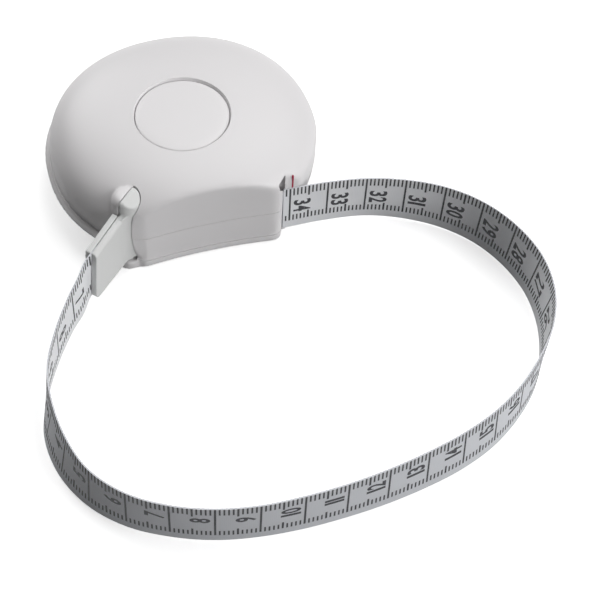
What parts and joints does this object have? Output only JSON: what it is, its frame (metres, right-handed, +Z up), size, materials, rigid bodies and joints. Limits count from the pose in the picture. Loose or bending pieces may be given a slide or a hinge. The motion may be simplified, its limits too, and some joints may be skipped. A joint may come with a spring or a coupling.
{
  "type": "cloth tape measure",
  "caption": "Retractable body tape measure in a round white push-button case, its cloth tape drawn out in a loop and its peg-ended tab plugged back into the case.",
  "frame": {"origin": "on the floor under the axis of the reel and the button", "axes": "+Z up along the button's axis, -Y out of the case's flat front, +X to the side the tape leaves by"},
  "size_m": [0.1226, 0.1401, 0.0275],
  "materials": {
    "case_white": "fine moulded satin",
    "button_white": "fine moulded satin",
    "tab_grey": "moulded satin",
    "grey_moulding": "moulded",
    "reel_moulding": "moulded",
    "pad_rubber": "matt",
    "spring_steel": "blued strip and wire",
    "bright_steel": "zinc plated",
    "red_mark": "printed line",
    "tape_cloth": "coated glass cloth with a printed scale"
  },
  "bodies": {
    "case": {"lower_case": "case_white", "upper_case": "case_white", "index_mark": "red_mark", "spindle": "bright_steel", "case_screw_1": "bright_steel", "case_screw_2": "bright_steel", "case_screw_3": "bright_steel", "tape_run": "tape_cloth", "free_tape": "tape_cloth"},
    "button": {"release_button": "button_white", "brake_ring": "grey_moulding", "brake_pad": "pad_rubber", "button_spring": "spring_steel"},
    "reel": {"reel_drum": "reel_moulding", "reel_lid": "reel_moulding", "spring_cover": "reel_moulding", "mainspring": "spring_steel", "tape_anchor": "bright_steel", "wound_tape": "tape_cloth"},
    "tab": {"tab_front_shell": "tab_grey", "tab_rear_shell": "tab_grey", "tape_end": "tape_cloth", "tab_pin_1": "bright_steel", "tab_pin_2": "bright_steel"}
  },
  "joints": [
    {"name": "button_press", "type": "slide", "parent": "case", "child": "button", "axis": [0, 0, -1], "range_m": [0, 0.0018], "stiffness_N_per_m": 600, "springref_m": -0.002, "deforming": ["button_spring"]},
    {"name": "reel_spin", "type": "hinge", "parent": "case", "child": "reel", "pos_m": [0, 0, 0.0097], "axis": [0, 0, 1], "range_deg": [-790, 5480], "deforming": ["mainspring"]},
    {"name": "tab_lift", "type": "slide", "parent": "case", "child": "tab", "axis": [0, 0, 1], "range_m": [0, 0.022], "deforming": ["free_tape"]}
  ]
}
